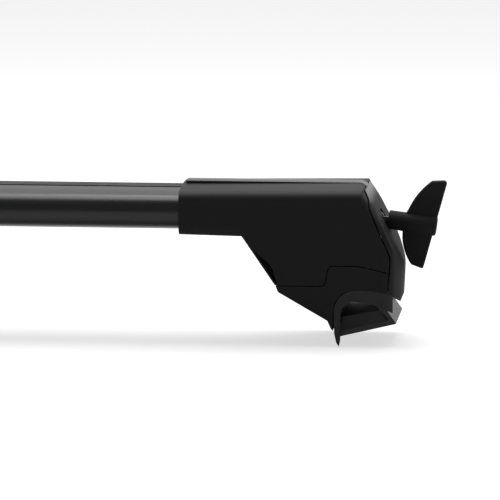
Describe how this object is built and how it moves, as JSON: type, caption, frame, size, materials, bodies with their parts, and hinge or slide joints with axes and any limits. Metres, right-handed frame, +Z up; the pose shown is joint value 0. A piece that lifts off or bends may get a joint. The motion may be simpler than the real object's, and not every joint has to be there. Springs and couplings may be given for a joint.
{
  "type": "roof rack crossbar",
  "caption": "Black oval crossbar for raised roof rails, with moulded feet, sliding rail clamps and a wing key.",
  "frame": {"origin": "middle of the load strip's top face, half way along the bar", "axes": "+X along the bar towards the foot that holds the key, +Y to the rear, +Z up"},
  "size_m": [1.2294, 0.078, 0.1125],
  "materials": {
    "black_aluminium": "satin black anodised extrusion",
    "foot_plastic": "fine textured black moulding",
    "rubber": "matt black rubber",
    "coated_steel": "black electrocoated steel",
    "zinc_steel": "zinc plated steel"
  },
  "bodies": {
    "bar": {"bar_extrusion": "black_aluminium", "slot_strip": "rubber"},
    "right_foot": {"right_foot_housing": "foot_plastic", "right_foot_base": "foot_plastic", "right_foot_bracket": "coated_steel", "right_saddle_pad": "rubber", "right_bar_nut_plate": "zinc_steel", "right_bar_screws": "zinc_steel", "right_base_screws": "zinc_steel", "right_housing_screws": "zinc_steel", "right_barrel_nut": "zinc_steel"},
    "right_clamp": {"right_end_cover": "foot_plastic", "right_jaw": "coated_steel", "right_jaw_liner": "rubber", "right_slide_carriage": "zinc_steel", "right_jaw_rivets": "zinc_steel", "right_cover_screws": "zinc_steel", "right_thrust_washer": "zinc_steel", "right_bolt_clip": "zinc_steel"},
    "right_bolt": {"right_clamp_bolt": "zinc_steel"},
    "left_foot": {"left_foot_housing": "foot_plastic", "left_foot_base": "foot_plastic", "left_foot_bracket": "coated_steel", "left_saddle_pad": "rubber", "left_bar_nut_plate": "zinc_steel", "left_bar_screws": "zinc_steel", "left_base_screws": "zinc_steel", "left_housing_screws": "zinc_steel", "left_barrel_nut": "zinc_steel"},
    "left_clamp": {"left_end_cover": "foot_plastic", "left_jaw": "coated_steel", "left_jaw_liner": "rubber", "left_slide_carriage": "zinc_steel", "left_jaw_rivets": "zinc_steel", "left_cover_screws": "zinc_steel", "left_thrust_washer": "zinc_steel", "left_bolt_clip": "zinc_steel"},
    "left_bolt": {"left_clamp_bolt": "zinc_steel"},
    "key": {"key_handle": "foot_plastic", "key_bit": "zinc_steel"}
  },
  "joints": [
    {"name": "right_foot_slide", "type": "slide", "parent": "bar", "child": "right_foot", "axis": [1, 0, 0], "range_m": [0, 0.02]},
    {"name": "right_clamp_slide", "type": "slide", "parent": "right_foot", "child": "right_clamp", "axis": [1, 0, 0], "range_m": [0, 0.03]},
    {"name": "right_bolt_turn", "type": "hinge", "parent": "right_clamp", "child": "right_bolt", "pos_m": [0.579, 0, -0.0233], "axis": [1, 0, 0], "range_deg": [0, 5406]},
    {"name": "left_foot_slide", "type": "slide", "parent": "bar", "child": "left_foot", "axis": [-1, 0, 0], "range_m": [0, 0.02]},
    {"name": "left_clamp_slide", "type": "slide", "parent": "left_foot", "child": "left_clamp", "axis": [-1, 0, 0], "range_m": [0, 0.03]},
    {"name": "left_bolt_turn", "type": "hinge", "parent": "left_clamp", "child": "left_bolt", "pos_m": [-0.579, 0, -0.0233], "axis": [-1, 0, 0], "range_deg": [0, 5406]},
    {"name": "key_slide", "type": "slide", "parent": "right_bolt", "child": "key", "axis": [0.9986, 0, -0.0523], "range_m": [0, 0.04]}
  ],
  "couplings": [
    {"joint": "right_bolt_turn", "follows": "right_clamp_slide", "rad_per_m": 3141.6},
    {"joint": "left_bolt_turn", "follows": "left_clamp_slide", "rad_per_m": 3141.6}
  ]
}
